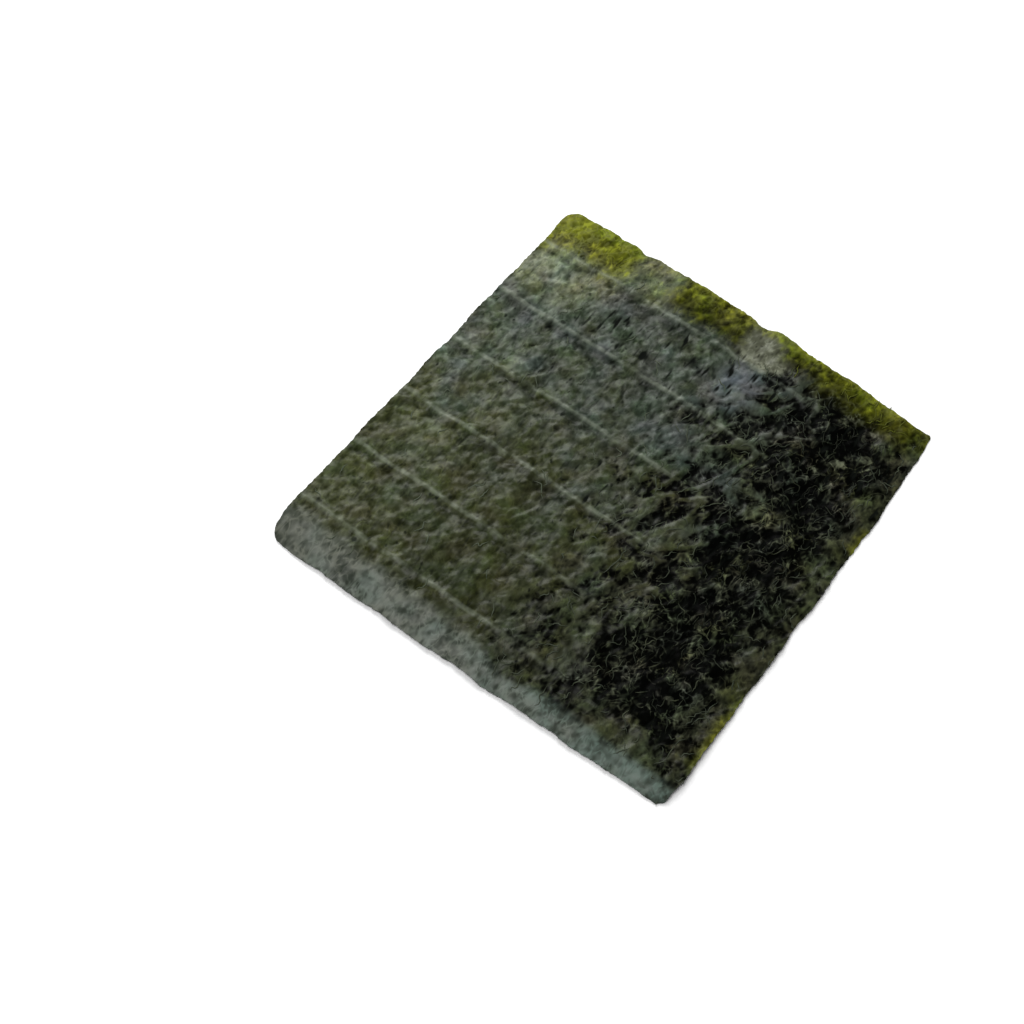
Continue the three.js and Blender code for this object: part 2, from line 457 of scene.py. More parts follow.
# The strands are lines drawn through noises: long ones and curls in one layer, fine curls in another
STRAND_LAYERS = {
    "Threads": (
        {"size": 6.5, "along": 2.0, "width": 0.06, "shift": 7, "turn": RIDGE_TURN},
        {"size": 5.4, "along": 1.5, "width": 0.075, "shift": 83},
        {"size": 4.2, "along": 1.2, "width": 0.085, "shift": 97},
    ),
    "Curls": (
        {"size": 3.6, "along": 2.2, "width": 0.10, "shift": 127},
        {"size": 3.0, "along": 1.5, "width": 0.11, "shift": 131},
    ),
}
STRAND_DISTORTION = 0.8
STRAND_BREAK_SIZE = 1.4
STRAND_BREAK_SHIFT = 3
STRAND_BREAK_EDGE = (0.40, 0.60)


def node(tree, kind, inputs=None, **properties):
    """Adds a node. Each input is a number, a colour or a socket to link from."""
    made = tree.nodes.new(kind)
    for name, value in properties.items():
        setattr(made, name, value)
    for socket, value in (inputs or {}).items():
        if isinstance(value, bpy.types.NodeSocket):
            tree.links.new(value, made.inputs[socket])
        else:
            made.inputs[socket].default_value = value
    return made


def calc(tree, operation, first, second=0.0, third=0.0):
    """The result of a Math node."""
    return node(tree, "ShaderNodeMath", {0: first, 1: second, 2: third}, operation=operation).outputs[0]


def times(tree, first, second):
    """One value times another."""
    return calc(tree, "MULTIPLY", first, second)


def plus(tree, base, value, weight=1.0):
    """The base plus a value times its weight."""
    return calc(tree, "MULTIPLY_ADD", value, weight, base)


def centred(tree, value):
    """A noise moved to either side of zero."""
    return calc(tree, "SUBTRACT", value, 0.5)


def window(tree, value, low, high, to_low=0.0, to_high=1.0):
    """The value moved smoothly from one range to another, and held inside it."""
    inputs = {"Value": value, "From Min": low, "From Max": high, "To Min": to_low, "To Max": to_high}
    return node(tree, "ShaderNodeMapRange", inputs, interpolation_type="SMOOTHSTEP").outputs["Result"]


def noise(tree, place, size, along=1.0, detail=2.0, distortion=0.0, shift=0.0, turn=0.0):
    """A noise of about size millimetres, drawn out along Y or turned from it, the same at all heights."""
    if turn:
        turned = {"Vector": place, "Angle": turn}
        place = node(tree, "ShaderNodeVectorRotate", turned, rotation_type="Z_AXIS").outputs[0]
    scale = (1 / (MILLIMETRE * size), 1 / (MILLIMETRE * size * along), 0.0)
    moved = {0: place, 1: scale, 2: (shift, shift, shift)}
    spot = node(tree, "ShaderNodeVectorMath", moved, operation="MULTIPLY_ADD").outputs[0]
    inputs = {
        "Vector": spot,
        "Scale": 1.0,
        "Detail": detail,
        "Roughness": NOISE_ROUGHNESS,
        "Distortion": distortion,
    }
    return node(tree, "ShaderNodeTexNoise", inputs).outputs["Fac"]


def contour_lines(tree, value, width):
    """1 on the lines where a noise passes its middle value."""
    return window(tree, calc(tree, "ABSOLUTE", centred(tree, value)), 0, width, 1, 0)


def threads(tree, place, size, along, width, shift, turn=0.0):
    """Thin curly strands that come and go."""
    course = noise(tree, place, size, along, detail=1, distortion=STRAND_DISTORTION, shift=shift, turn=turn)
    breaks = noise(tree, place, size * STRAND_BREAK_SIZE, detail=1, shift=shift + STRAND_BREAK_SHIFT)
    return times(tree, contour_lines(tree, course, width), window(tree, breaks, *STRAND_BREAK_EDGE))


def felt_pattern(tree, place):
    """Every layer of the felt, by name."""
    layers = {name: noise(tree, place, **shape) for name, shape in FELT_LAYERS.items()}
    layers["Slits"] = window(tree, layers["Slits"], *SLIT_EDGE)
    layers["Pores"] = window(tree, layers["Pores"], *PORE_EDGE)
    layers["Ridges"] = contour_lines(tree, layers["Ridges"], RIDGE_LINE_WIDTH)
    for name, kinds in STRAND_LAYERS.items():
        layers[name] = threads(tree, place, **kinds[0])
        for kind in kinds[1:]:
            layers[name] = plus(tree, layers[name], threads(tree, place, **kind))
    return layers


felt = bpy.data.node_groups.new("laver_felt", "ShaderNodeTree")
felt.interface.new_socket(name="Place", in_out="INPUT", socket_type="NodeSocketVector")
felt_outputs = felt_pattern(felt, felt.nodes.new("NodeGroupInput").outputs[0])
for name in felt_outputs:
    felt.interface.new_socket(name=name, in_out="OUTPUT", socket_type="NodeSocketFloat")
node(felt, "NodeGroupOutput", felt_outputs)


# The sheet's finish
# Black-green strands matted together: olive where the felt is loose, a painted sheen on the flank towards
# the light, and yellow-green where it thins out at the edges, partly painted light shining through. Each
# colour runs from the gaps up to the strands.

DARK_GAP = (0.0004, 0.0005, 0.0003)
DARK_STRAND = (0.104, 0.115, 0.075)
OLIVE_GAP = (0.002, 0.0025, 0.0005)
OLIVE_STRAND = (0.096, 0.111, 0.042)
GREY_GAP = (0.002, 0.003, 0.002)
GREY_STRAND = (0.114, 0.143, 0.101)
PALE_GAP = (0.012, 0.014, 0.006)
PALE_STRAND = (0.293, 0.321, 0.191)
BLUE_STRAND = (0.106, 0.126, 0.128)
VIOLET_TINT = (1.07, 0.965, 1.07)
GREEN_TINT = (0.92, 1.03, 0.94)
OLIVE_TINT = (1.02, 1.02, 0.78)
BLUE_TINT = (0.96, 1.0, 1.16)
LOW_TINT_EDGE = (0.34, 0.48, 1, 0)
HIGH_TINT_EDGE = (0.52, 0.66)

# The places of a Mix node's colour sockets, whose names its other sockets share
MIX_FIRST = 6
MIX_SECOND = 7
MIX_RESULT = 2


def start_material(name):
    """A new material, its node tree and its shader."""
    made = bpy.data.materials.new(name)
    made.use_nodes = True
    tree = made.node_tree
    return made, tree, tree.nodes["Principled BSDF"]


def felt_group(tree):
    """The felt's pattern in a material, over the whole object."""
    group = tree.nodes.new("ShaderNodeGroup")
    group.node_tree = felt
    tree.links.new(node(tree, "ShaderNodeTexCoord").outputs["Object"], group.inputs["Place"])
    return group.outputs


def face_value(tree, name):
    """What the points of the face carry under a name."""
    return node(tree, "ShaderNodeAttribute", attribute_name=name).outputs["Fac"]


def blend(tree, share, first, second, way="MIX"):
    """A mix of two colours."""
    made = node(tree, "ShaderNodeMix", {"Factor": share}, data_type="RGBA", blend_type=way)
    for socket, value in ((MIX_FIRST, first), (MIX_SECOND, second)):
        if isinstance(value, bpy.types.NodeSocket):
            tree.links.new(value, made.inputs[socket])
        else:
            made.inputs[socket].default_value = (*value, 1.0)
    return made.outputs[MIX_RESULT]


def tinted(tree, colour, value, low_tint, high_tint):
    """The colour times one tint where a noise is low and another where it is high."""
    colour = blend(tree, window(tree, value, *LOW_TINT_EDGE), colour, low_tint, way="MULTIPLY")
    return blend(tree, window(tree, value, *HIGH_TINT_EDGE), colour, high_tint, way="MULTIPLY")


def weighed(tree, base, layers, weights):
    """The base plus each layer that has a weight."""
    for name, weight in weights.items():
        base = plus(tree, base, layers[name], weight)
    return base


nori_face, tree, shader = start_material("nori_face")
pattern = felt_group(tree)
grain = centred(tree, times(tree, plus(tree, pattern["Specks"], pattern["Crumple"]), 0.5))
patches = centred(tree, pattern["Patches"])
folds = centred(tree, pattern["Folds"])
layers = {
    "grain": grain,
    "patches": patches,
    "folds": folds,
    "threads": pattern["Threads"],
    "curls": pattern["Curls"],
    "crest": face_value(tree, "crest"),
}

# Where the felt is painted as lit: a painted sheen on the sheeny flank, and painted highlights beyond it in
# patches, crests and wrinkles that branch out
LIT_WEIGHTS = {"patches": 1.0, "crest": 0.25, "grain": 1.0, "branches": 0.55}
LIT_EDGE = (0.05, 0.9)
BRANCH_FLOOR = 0.31

branches = calc(tree, "SUBTRACT", pattern["Ridges"], BRANCH_FLOOR)
layers["branches"] = times(tree, branches, face_value(tree, "branch_reach"))
lit = window(tree, weighed(tree, face_value(tree, "sheen"), layers, LIT_WEIGHTS), *LIT_EDGE)

# How much of the painted highlight on each string line's crest shows, broken up in patches
BREAK_GRAIN = 0.5
BREAK_PATCHES = (-0.16, 0.12, 0.2, 1.1)
BREAK_SPECKS = (-0.2, 0.15, 0.75, 1.15)

crest_breaks = window(tree, plus(tree, patches, grain, BREAK_GRAIN), *BREAK_PATCHES)
crest_breaks = times(tree, crest_breaks, window(tree, grain, *BREAK_SPECKS))
layers["crest_highlight"] = times(tree, layers["crest"], crest_breaks)

# How light the strands are. Raised crumples and folds come out lighter and hollows darker, and
# the groove in front of each string line darker: partly painted shade and highlight. Each weight is given
# for the dull flank and for the sheeny one
STRAND_WEIGHTS = {
    "grain": (3.2, 2.1),
    "threads": (0.90, 0.10),
    "curls": (0.36, 0.28),
    "folds": (2.4, 0.7),
    "patches": (0.9, 0.3),
    "crest_highlight": (0.35, 0.30),
}
STRAND_BASE = (-0.20, 1.22)
GROOVE_SHADE = -0.3
STRAND_FULL = 2.15
STRAND_CONTRAST = 2.0

weights = {name: window(tree, lit, 0, 1, *ends) for name, ends in STRAND_WEIGHTS.items()}
strand_light = weighed(tree, window(tree, lit, 0, 1, *STRAND_BASE), layers, weights)
strand_light = plus(tree, strand_light, face_value(tree, "groove"), GROOVE_SHADE)
strand_light = calc(tree, "DIVIDE", calc(tree, "MAXIMUM", strand_light, 0.0), STRAND_FULL)
strand_share = calc(tree, "POWER", strand_light, STRAND_CONTRAST)

# The felt's colour: black-green on the dull flank, olive to grey on the sheeny one as a painted sheen that
# darkens as painted shade towards the ridge and front, and pale in its back corner, partly painted sheen
GREY_PATCHES = 2.2
GREY_EDGE = (0.1, 0.9)
PALE_COMB = (0.35, 0.6, 0.35, 0.9)

dull = blend(tree, strand_share, DARK_GAP, DARK_STRAND)
olive = blend(tree, strand_share, OLIVE_GAP, OLIVE_STRAND)
silver = blend(tree, strand_share, GREY_GAP, GREY_STRAND)
pale = blend(tree, strand_share, PALE_GAP, PALE_STRAND)
# The blue spot's strands take a bluish painted reflection
silver = blend(tree, times(tree, face_value(tree, "blue"), strand_light), silver, BLUE_STRAND)
grey = window(tree, plus(tree, face_value(tree, "grey"), patches, GREY_PATCHES), *GREY_EDGE)
bright = blend(tree, face_value(tree, "shade"), blend(tree, grey, olive, silver), DARK_GAP)
pale_share = times(tree, face_value(tree, "pale"), window(tree, pattern["Comb"], *PALE_COMB))
colour = blend(tree, lit, dull, blend(tree, pale_share, bright, pale))
colour = tinted(tree, colour, pattern["Warmth"], GREEN_TINT, VIOLET_TINT)
colour = tinted(tree, colour, pattern["Dye"], BLUE_TINT, OLIVE_TINT)

# The pale flake at the back edge, which is ragged all round
FLAKE_GAP = (0.068, 0.072, 0.048)
FLAKE_STRAND = (0.158, 0.168, 0.120)
FLAKE_RAGGEDNESS = 0.8
FLAKE_EDGE = (0.15, 0.6)
FLAKE_CURLS = 0.16
FLAKE_LIGHT = (-0.12, 0.26)

flake_light = window(tree, plus(tree, grain, pattern["Curls"], FLAKE_CURLS), *FLAKE_LIGHT)
flake_share = window(tree, plus(tree, face_value(tree, "flake"), grain, FLAKE_RAGGEDNESS), *FLAKE_EDGE)
colour = blend(tree, flake_share, colour, blend(tree, flake_light, FLAKE_GAP, FLAKE_STRAND))

# The slits and pores, painted black as shade where they sink in, the pores mostly in hollows
SLIT_BLACK = (0.004, 0.005, 0.004)
PORE_HOLLOWS = (-0.15, 0.15, 0.85, 0.1)

slit_share = times(tree, pattern["Slits"], face_value(tree, "slit_strength"))
pore_share = times(tree, pattern["Pores"], window(tree, folds, *PORE_HOLLOWS))
slit_share = calc(tree, "MAXIMUM", slit_share, pore_share)
colour = blend(tree, slit_share, colour, SLIT_BLACK)

# The yellow-green of the thin edge, partly painted light shining through the thin felt, mottled and ragged
# on its inner side
MOSS_DARK = (0.004, 0.0044, 0.0006)
MOSS_BRIGHT = (0.200, 0.222, 0.016)
MOSS_STRAND = (0.160, 0.172, 0.045)
MOSS_LIME_TINT = (0.93, 1.03, 0.90)
MOSS_BROWN_TINT = (1.04, 0.965, 1.25)
MOTTLE_GRAIN = 2.0
MOTTLE_AT_RIM = (0.2, 1, 1, 0.4)
MOSS_RAGGEDNESS = 3.0
MOSS_BASE = 0.80
MOSS_CURLS = 0.34
MOSS_DEPTH = (0.22, 0.36, 1.1, 2.4)
MOSS_LEAST = 0.2
MOSS_CONTRAST = 2.0
MOSS_SHARE = 0.44
MOSS_THREADS = 0.3

thin = face_value(tree, "thin_edge")
thin_tone = face_value(tree, "thin_light")
mottle = plus(tree, folds, grain, MOTTLE_GRAIN)
mottle = times(tree, mottle, window(tree, face_value(tree, "rim"), *MOTTLE_AT_RIM))
inner_side = times(tree, calc(tree, "SUBTRACT", 1.0, thin), times(tree, thin, MOSS_RAGGEDNESS))
mossy = plus(tree, thin, mottle, inner_side)
moss_fibre = calc(tree, "MULTIPLY_ADD", pattern["Curls"], MOSS_CURLS, MOSS_BASE)
moss_depth = window(tree, face_value(tree, "across"), *MOSS_DEPTH)
moss_light = calc(tree, "MAXIMUM", plus(tree, moss_fibre, mottle, moss_depth), MOSS_LEAST)
moss_light = times(tree, calc(tree, "POWER", moss_light, MOSS_CONTRAST), thin_tone)
moss = blend(tree, times(tree, moss_light, MOSS_SHARE), MOSS_DARK, MOSS_BRIGHT)
moss = tinted(tree, moss, pattern["Warmth"], MOSS_LIME_TINT, MOSS_BROWN_TINT)
moss_threads = times(tree, times(tree, pattern["Threads"], MOSS_THREADS), thin_tone)
moss = blend(tree, moss_threads, moss, MOSS_STRAND)
colour = blend(tree, mossy, colour, moss)

# The pale grey painted reflection on the smooth rolled edge, bluer to the right
LIP_GAP = (0.030, 0.036, 0.028)
LIP_STRAND_LEFT = (0.110, 0.117, 0.092)
LIP_STRAND_RIGHT = (0.090, 0.125, 0.104)
LIP_RAGGEDNESS = {"patches": 0.5, "grain": 0.6}
LIP_EDGE = (0.1, 0.95)
LIP_FELT = {"patches": 0.6, "curls": 0.22}
LIP_LIGHT = (-0.24, 0.34)
LIP_WARMTH = -2.0
LIP_HUE = (-0.1, 1.1)

lip_share = window(tree, weighed(tree, face_value(tree, "lip"), layers, LIP_RAGGEDNESS), *LIP_EDGE)
lip_light = window(tree, weighed(tree, grain, layers, LIP_FELT), *LIP_LIGHT)
lip_hue = plus(tree, face_value(tree, "across"), centred(tree, pattern["Warmth"]), LIP_WARMTH)
lip_strand = blend(tree, window(tree, lip_hue, *LIP_HUE), LIP_STRAND_LEFT, LIP_STRAND_RIGHT)
colour = blend(tree, lip_share, colour, blend(tree, lip_light, LIP_GAP, lip_strand))

# The pale painted highlight on the string lines' raised crests, which hardly shows on the dull flank
LINE_PALE = (0.15, 0.168, 0.13)
LINE_SHARE = (0.03, 0.52)

line_share = times(tree, layers["crest_highlight"], window(tree, lit, 0, 1, *LINE_SHARE))
colour = blend(tree, line_share, colour, LINE_PALE)
tree.links.new(colour, shader.inputs["Base Color"])

# The gloss of the toasted laver, which slits and thin green felt lack, and the fine weave
ROUGHNESS = (0.75, 0.5)
GLOSS = (0.04, 0.30)
GLOSS_GRAIN = (-0.15, 0.15)
GLOSS_ON_MOSS = 0.1
GLOSS_ROUGHNESS = 0.32
SPECULAR = 0.01
WEAVE_SLITS = -0.6
WEAVE_STRENGTH = 0.16
WEAVE_DEPTH = 0.0012

gloss = times(tree, window(tree, lit, 0, 1, *GLOSS), window(tree, grain, *GLOSS_GRAIN))
gloss = times(tree, gloss, window(tree, mossy, 0, 1, 1, GLOSS_ON_MOSS))
gloss = times(tree, gloss, window(tree, slit_share, 0, 1, 1, 0))
weave = {
    "Strength": WEAVE_STRENGTH,
    "Distance": WEAVE_DEPTH,
    "Height": plus(tree, grain, slit_share, WEAVE_SLITS),
}
tree.links.new(window(tree, strand_share, 0, 1, *ROUGHNESS), shader.inputs["Roughness"])
tree.links.new(gloss, shader.inputs["Coat Weight"])
tree.links.new(node(tree, "ShaderNodeBump", weave).outputs["Normal"], shader.inputs["Normal"])
shader.inputs["Coat Roughness"].default_value = GLOSS_ROUGHNESS
shader.inputs["Specular IOR Level"].default_value = SPECULAR

# The underside, which dried against the mat: darker and plainer, with the same green at its edges
BACK_PATCHES = (0.35, 0.65)
BACK_THREADS = 0.22
BACK_MOSS = 0.3
BACK_ROUGHNESS = (0.3, 0.7, 0.32, 0.5)
BACK_SPECULAR = 0.4
BACK_WEAVE_STRENGTH = 0.3
BACK_WEAVE_DEPTH = 0.0003

nori_back, tree, shader = start_material("nori_back")
pattern = felt_group(tree)
colour = blend(tree, window(tree, pattern["Patches"], *BACK_PATCHES), DARK_GAP, OLIVE_GAP)
colour = blend(tree, times(tree, pattern["Threads"], BACK_THREADS), colour, OLIVE_STRAND)
moss = blend(tree, times(tree, face_value(tree, "thin_light"), BACK_MOSS), MOSS_DARK, MOSS_BRIGHT)
colour = blend(tree, face_value(tree, "thin_edge"), colour, moss)
weave = {"Strength": BACK_WEAVE_STRENGTH, "Distance": BACK_WEAVE_DEPTH, "Height": pattern["Specks"]}
tree.links.new(colour, shader.inputs["Base Color"])
tree.links.new(window(tree, pattern["Specks"], *BACK_ROUGHNESS), shader.inputs["Roughness"])
tree.links.new(node(tree, "ShaderNodeBump", weave).outputs["Normal"], shader.inputs["Normal"])
shader.inputs["Specular IOR Level"].default_value = BACK_SPECULAR


# The sheet's relief and thickness
# As it dries and toasts, the felt crinkles and folds, its strands stand up and the slits sink in. The rolled
# edge stays smooth, and the rim frays. The face then gets its thickness and underside. Sizes are in metres.

RELIEF = {
    "Crinkle height": 0.0010,
    "Fray depth": 0.0016,
    "Fold height": 0.0014,
    "Ridge height": 0.0006,
    "Waver": 0.0010,
    "Strand height": 0.00022,
    "Slit depth": 0.0004,
    "Thickness": SHEET_THICKNESS * MILLIMETRE,
}
SHEENY_RELIEF = 0.75
LIP_RELIEF = 0.25
FRAY_GRIP = 4.0
FRAY_ACROSS = {"size": 2.4, "detail": 3, "shift": 47}
FRAY_ALONG = {"size": 2.4, "detail": 3, "shift": 53}
RIM_WAVER = {"size": 14, "detail": 2, "shift": 59}
WELD_DISTANCE = 0.000001
SHARP_EDGE = math.radians(60)


def start_geometry(name, sizes):
    """A geometry tree with named number inputs. Gives the tree, its inputs, and each input's identifier."""
    tree = bpy.data.node_groups.new(name, "GeometryNodeTree")
    tree.interface.new_socket(name="Geometry", in_out="INPUT", socket_type="NodeSocketGeometry")
    tree.interface.new_socket(name="Geometry", in_out="OUTPUT", socket_type="NodeSocketGeometry")
    keys = {}
    for label, value in sizes.items():
        kind = "NodeSocketInt" if isinstance(value, int) else "NodeSocketFloat"
        keys[label] = tree.interface.new_socket(name=label, in_out="INPUT", socket_type=kind).identifier
    return tree, tree.nodes.new("NodeGroupInput").outputs, keys


def run_geometry(piece, tree, keys, sizes):
    """Runs the tree on a piece and leaves its result as the piece's plain mesh."""
    modifier = piece.modifiers.new(tree.name, "NODES")
    modifier.node_group = tree
    for label, value in sizes.items():
        modifier[keys[label]] = value
    bpy.context.view_layer.update()
    graph = bpy.context.evaluated_depsgraph_get()
    ready = piece.evaluated_get(graph)
    made = bpy.data.meshes.new_from_object(ready, preserve_all_data_layers=True, depsgraph=graph)
    piece.modifiers.remove(modifier)
    piece.data = made


def named_value(tree, name):
    """What the points of the face carry under a name, in a geometry tree."""
    made = node(tree, "GeometryNodeInputNamedAttribute", {"Name": name}, data_type="FLOAT")
    return made.outputs["Attribute"]


def vector(tree, x=0.0, y=0.0, z=0.0):
    """A vector of three values."""
    return node(tree, "ShaderNodeCombineXYZ", {0: x, 1: y, 2: z}).outputs[0]


def with_material(tree, geometry, material):
    """The geometry with one material all over."""
    return node(tree, "GeometryNodeSetMaterial", {"Geometry": geometry, "Material": material}).outputs[0]


tree, given, keys = start_geometry("felt_relief", RELIEF)
place = node(tree, "GeometryNodeInputPosition").outputs[0]
pattern = felt_pattern(tree, place)
flank = window(tree, named_value(tree, "sheen"), 0, 1, 1, SHEENY_RELIEF)
smooth_lip = window(tree, named_value(tree, "lip"), 0, 1, 1, LIP_RELIEF)
relief = times(tree, times(tree, centred(tree, pattern["Crumple"]), given["Crinkle height"]), flank)
relief = plus(tree, relief, centred(tree, pattern["Folds"]), given["Fold height"])
relief = plus(tree, relief, pattern["Ridges"], times(tree, given["Ridge height"], flank))
relief = plus(tree, relief, pattern["Threads"], given["Strand height"])
relief = calc(tree, "SUBTRACT", relief, times(tree, pattern["Slits"], given["Slit depth"]))
relief = times(tree, relief, times(tree, smooth_lip, named_value(tree, "lift")))

fray = times(tree, calc(tree, "POWER", named_value(tree, "rim"), FRAY_GRIP), given["Fray depth"])
fray_x = times(tree, centred(tree, noise(tree, place, **FRAY_ACROSS)), fray)
fray_y = times(tree, centred(tree, noise(tree, place, **FRAY_ALONG)), fray)
fray_y = plus(tree, fray_y, centred(tree, noise(tree, place, **RIM_WAVER)), given["Waver"])
moved = {"Geometry": given["Geometry"], "Offset": vector(tree, fray_x, fray_y, relief)}
raised = node(tree, "GeometryNodeSetPosition", moved).outputs[0]

wall = {
    "Mesh": raised,
    "Offset": vector(tree, z=given["Thickness"]),
    "Offset Scale": 1.0,
    "Individual": False,
}
over = node(tree, "GeometryNodeExtrudeMesh", wall, mode="FACES").outputs["Mesh"]
under = node(tree, "GeometryNodeFlipFaces", {"Mesh": raised}).outputs[0]
both = node(tree, "GeometryNodeJoinGeometry")
tree.links.new(with_material(tree, over, nori_face), both.inputs[0])
tree.links.new(with_material(tree, under, nori_back), both.inputs[0])
welded = {"Geometry": both.outputs[0], "Distance": WELD_DISTANCE}
closed = node(tree, "GeometryNodeMergeByDistance", welded).outputs[0]
smooth = node(tree, "GeometryNodeSetShadeSmooth", {"Geometry": closed}).outputs[0]
edge_angle = node(tree, "GeometryNodeInputMeshEdgeAngle").outputs["Unsigned Angle"]
sharp = {
    "Geometry": smooth,
    "Selection": calc(tree, "GREATER_THAN", edge_angle, SHARP_EDGE),
    "Shade Smooth": False,
}
crisp = node(tree, "GeometryNodeSetShadeSmooth", sharp, domain="EDGE").outputs[0]
node(tree, "NodeGroupOutput", {0: crisp})

sheet = bpy.data.objects.new("nori_sheet_felt", sheet_mesh)
bpy.context.scene.collection.objects.link(sheet)
run_geometry(sheet, tree, keys, RELIEF)
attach(sheet, "root")
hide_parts("nori_sheet")


# The loose strands
# Shreds of laver that dried on top of the felt, most of them on the dull flank, and a few that overhang the
# rim. Each is a thin flat ribbon with tapered ends that curls over the sheet. Sizes are in metres.

STRANDS = {
    "Density": 36000.0,
    "Length": 0.0062,
    "Half width": 0.00024,
    "Half thickness": 0.00005,
    "Curl": 0.0062,
    "Arch": 0.00014,
    "Seed": 5,
}
STRAND_POINTS = 10
STRAND_TIP = 0.15
SHEENY_STRANDS = 0.06
LIP_STRANDS = 0.15
FACING_UP = 0.2
TURN_EITHER_WAY = 0.75
LENGTH_SPREAD = (0.4, 1.5)
RIM_LENGTH = 0.4
CURL_ACROSS = {"size": 4, "detail": 1, "shift": 41}
CURL_ALONG = {"size": 4, "detail": 1, "shift": 43}
DROP_FROM = 0.05
DROP_LENGTH = 0.1

STRAND_DARK = (0.003, 0.004, 0.002)
STRAND_PALE = (0.032, 0.036, 0.019)
STRAND_BRIGHT = (0.060, 0.072, 0.048)
STRAND_GREEN = (0.060, 0.068, 0.007)
STRAND_TONE_CONTRAST = 1.8
STRAND_ON_FOLDS = (0.42, 0.60, 0.10, 1.1)
STRAND_GREEN_EDGE = (0.25, 0.6)
STRAND_ROUGHNESS = (0.3, 0.7, 0.4, 0.65)
STRAND_GLOSS = (0.3, 0.7, 0.02, 0.10)
STRAND_GLOSS_ROUGHNESS = 0.35
STRAND_SPECULAR = 0.04

nori_strand, tree, shader = start_material("nori_strand")
pattern = felt_group(tree)
tone = calc(tree, "POWER", face_value(tree, "tone"), STRAND_TONE_CONTRAST)
# Strands in the felt's hollows are darkened as painted shade
tone = times(tree, tone, window(tree, pattern["Folds"], *STRAND_ON_FOLDS))
green = window(tree, face_value(tree, "thin_edge"), *STRAND_GREEN_EDGE)
colour = blend(tree, tone, STRAND_DARK, STRAND_PALE)
# Strands on the sheeny flank take its painted sheen
colour = blend(tree, face_value(tree, "sheen"), colour, STRAND_BRIGHT)
colour = blend(tree, green, colour, STRAND_GREEN)
tree.links.new(colour, shader.inputs["Base Color"])
tree.links.new(window(tree, pattern["Specks"], *STRAND_ROUGHNESS), shader.inputs["Roughness"])
tree.links.new(window(tree, pattern["Specks"], *STRAND_GLOSS), shader.inputs["Coat Weight"])
shader.inputs["Coat Roughness"].default_value = STRAND_GLOSS_ROUGHNESS
shader.inputs["Specular IOR Level"].default_value = STRAND_SPECULAR


# The places of a Random Value node's number sockets, whose names its other sockets share
RANDOM_LOW = 2
RANDOM_HIGH = 3
RANDOM_RESULT = 1


def drawn(tree, low, high, seed, offset):
    """A number drawn once for each point."""
    inputs = {RANDOM_LOW: low, RANDOM_HIGH: high, "Seed": calc(tree, "ADD", seed, offset)}
    return node(tree, "FunctionNodeRandomValue", inputs, data_type="FLOAT").outputs[RANDOM_RESULT]


def parts_of(tree, value):
    """The X, Y and Z of a vector."""
    return node(tree, "ShaderNodeSeparateXYZ", {0: value}).outputs


def noted(tree, geometry, name, value):
    """The geometry with a value kept on its points under a name."""
    inputs = {"Geometry": geometry, "Name": name, "Value": value}
    return node(tree, "GeometryNodeStoreNamedAttribute", inputs, data_type="FLOAT").outputs[0]


# Where the strands lie, and the tone and height that each one keeps
tree, given, keys = start_geometry("loose_strands", STRANDS)
ground = given["Geometry"]
place = node(tree, "GeometryNodeInputPosition").outputs[0]
normal = node(tree, "GeometryNodeInputNormal").outputs[0]
share = window(tree, named_value(tree, "sheen"), 0, 1, 1, SHEENY_STRANDS)
share = times(tree, share, window(tree, named_value(tree, "lip"), 0, 1, 1, LIP_STRANDS))
scatter = {
    "Mesh": ground,
    "Selection": calc(tree, "GREATER_THAN", parts_of(tree, normal)["Z"], FACING_UP),
    "Density": times(tree, share, given["Density"]),
    "Seed": given["Seed"],
}
spots = node(tree, "GeometryNodeDistributePointsOnFaces", scatter).outputs["Points"]
spots = noted(tree, spots, "tone", drawn(tree, 0.0, 1.0, given["Seed"], 1))
spots = noted(tree, spots, "height", parts_of(tree, place)["Z"])

# A straight line for each strand, turned and cut to length
unit_length = {"Start": (0.0, -0.5, 0.0), "End": (0.0, 0.5, 0.0)}
line = node(tree, "GeometryNodeCurvePrimitiveLine", unit_length).outputs[0]
divided = {"Curve": line, "Count": STRAND_POINTS}
line = node(tree, "GeometryNodeResampleCurve", divided, mode="COUNT").outputs[0]
turns = [drawn(tree, -TURN_EITHER_WAY, TURN_EITHER_WAY, given["Seed"], offset) for offset in (2, 3)]
length = times(tree, drawn(tree, *LENGTH_SPREAD, given["Seed"], 4), given["Length"])
length = times(tree, length, window(tree, named_value(tree, "rim"), 0, 1, 1, RIM_LENGTH))
laid = {
    "Points": spots,
    "Instance": line,
    "Rotation": vector(tree, z=plus(tree, *turns)),
    "Scale": vector(tree, length, length, length),
}
shreds = node(tree, "GeometryNodeInstanceOnPoints", laid).outputs[0]
shreds = node(tree, "GeometryNodeRealizeInstances", {"Geometry": shreds}).outputs[0]

# The lines curl, and drop onto the felt in a low arch
curl_x = times(tree, centred(tree, noise(tree, place, **CURL_ACROSS)), given["Curl"])
curl_y = times(tree, centred(tree, noise(tree, place, **CURL_ALONG)), given["Curl"])
curled = {"Geometry": shreds, "Offset": vector(tree, curl_x, curl_y)}
shreds = node(tree, "GeometryNodeSetPosition", curled).outputs[0]
spot = parts_of(tree, place)
drop = {
    "Target Geometry": ground,
    "Source Position": vector(tree, spot["X"], spot["Y"], DROP_FROM),
    "Ray Direction": (0.0, 0.0, -1.0),
    "Ray Length": DROP_LENGTH,
}
ray = node(tree, "GeometryNodeRaycast", drop).outputs
landing = {
    "Switch": ray["Is Hit"],
    "False": named_value(tree, "height"),
    "True": parts_of(tree, ray["Hit Position"])["Z"],
}
felt_level = node(tree, "GeometryNodeSwitch", landing, input_type="FLOAT").outputs[0]
